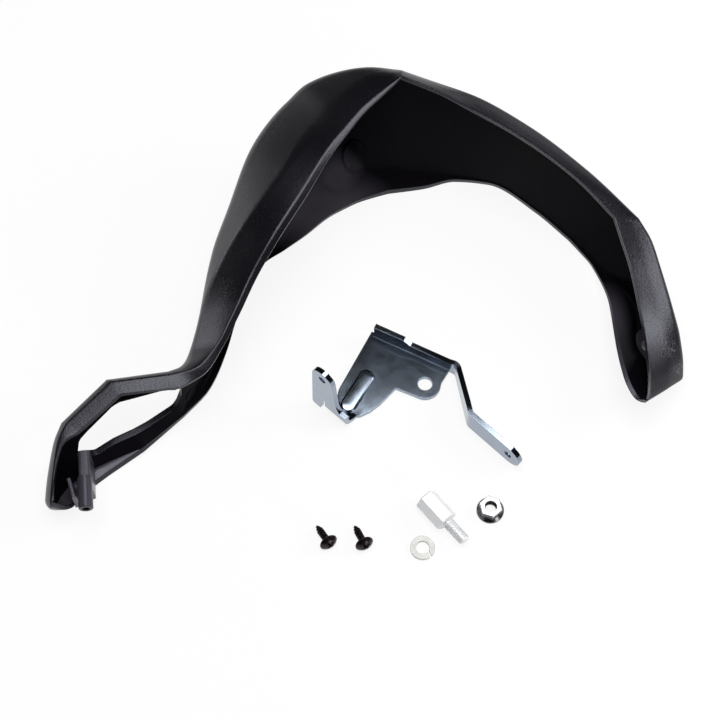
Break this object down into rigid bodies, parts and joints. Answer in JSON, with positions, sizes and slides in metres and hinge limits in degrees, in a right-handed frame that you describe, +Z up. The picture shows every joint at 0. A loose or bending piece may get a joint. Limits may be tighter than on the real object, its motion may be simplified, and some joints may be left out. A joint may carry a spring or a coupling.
{
  "type": "motorcycle hand guard kit",
  "caption": "Black moulded hand guard for one handlebar end, laid out with its folded steel bracket, tapping screws, stud standoff, split washer and flange nut.",
  "frame": {"origin": "middle of the laid-out kit's footprint, on the table", "axes": "+Z up from the table, +X from the bar clamp end to the bar end of the guard, +Y away from the loose fasteners"},
  "size_m": [0.3079, 0.2326, 0.0836],
  "materials": {
    "guard_plastic": "fine grain outside, smooth inside",
    "plated_sheet": "glossy dark plating with pale edges",
    "black_screw": "black plated, glossy",
    "bright_zinc": "bright zinc plating",
    "dark_zinc": "dark zinc with a bright top face"
  },
  "bodies": {
    "root": {"guard": "guard_plastic", "bracket": "plated_sheet", "tapping_screws": "black_screw", "standoff": "bright_zinc", "washer": "bright_zinc", "nut": "dark_zinc"}
  },
  "joints": []
}
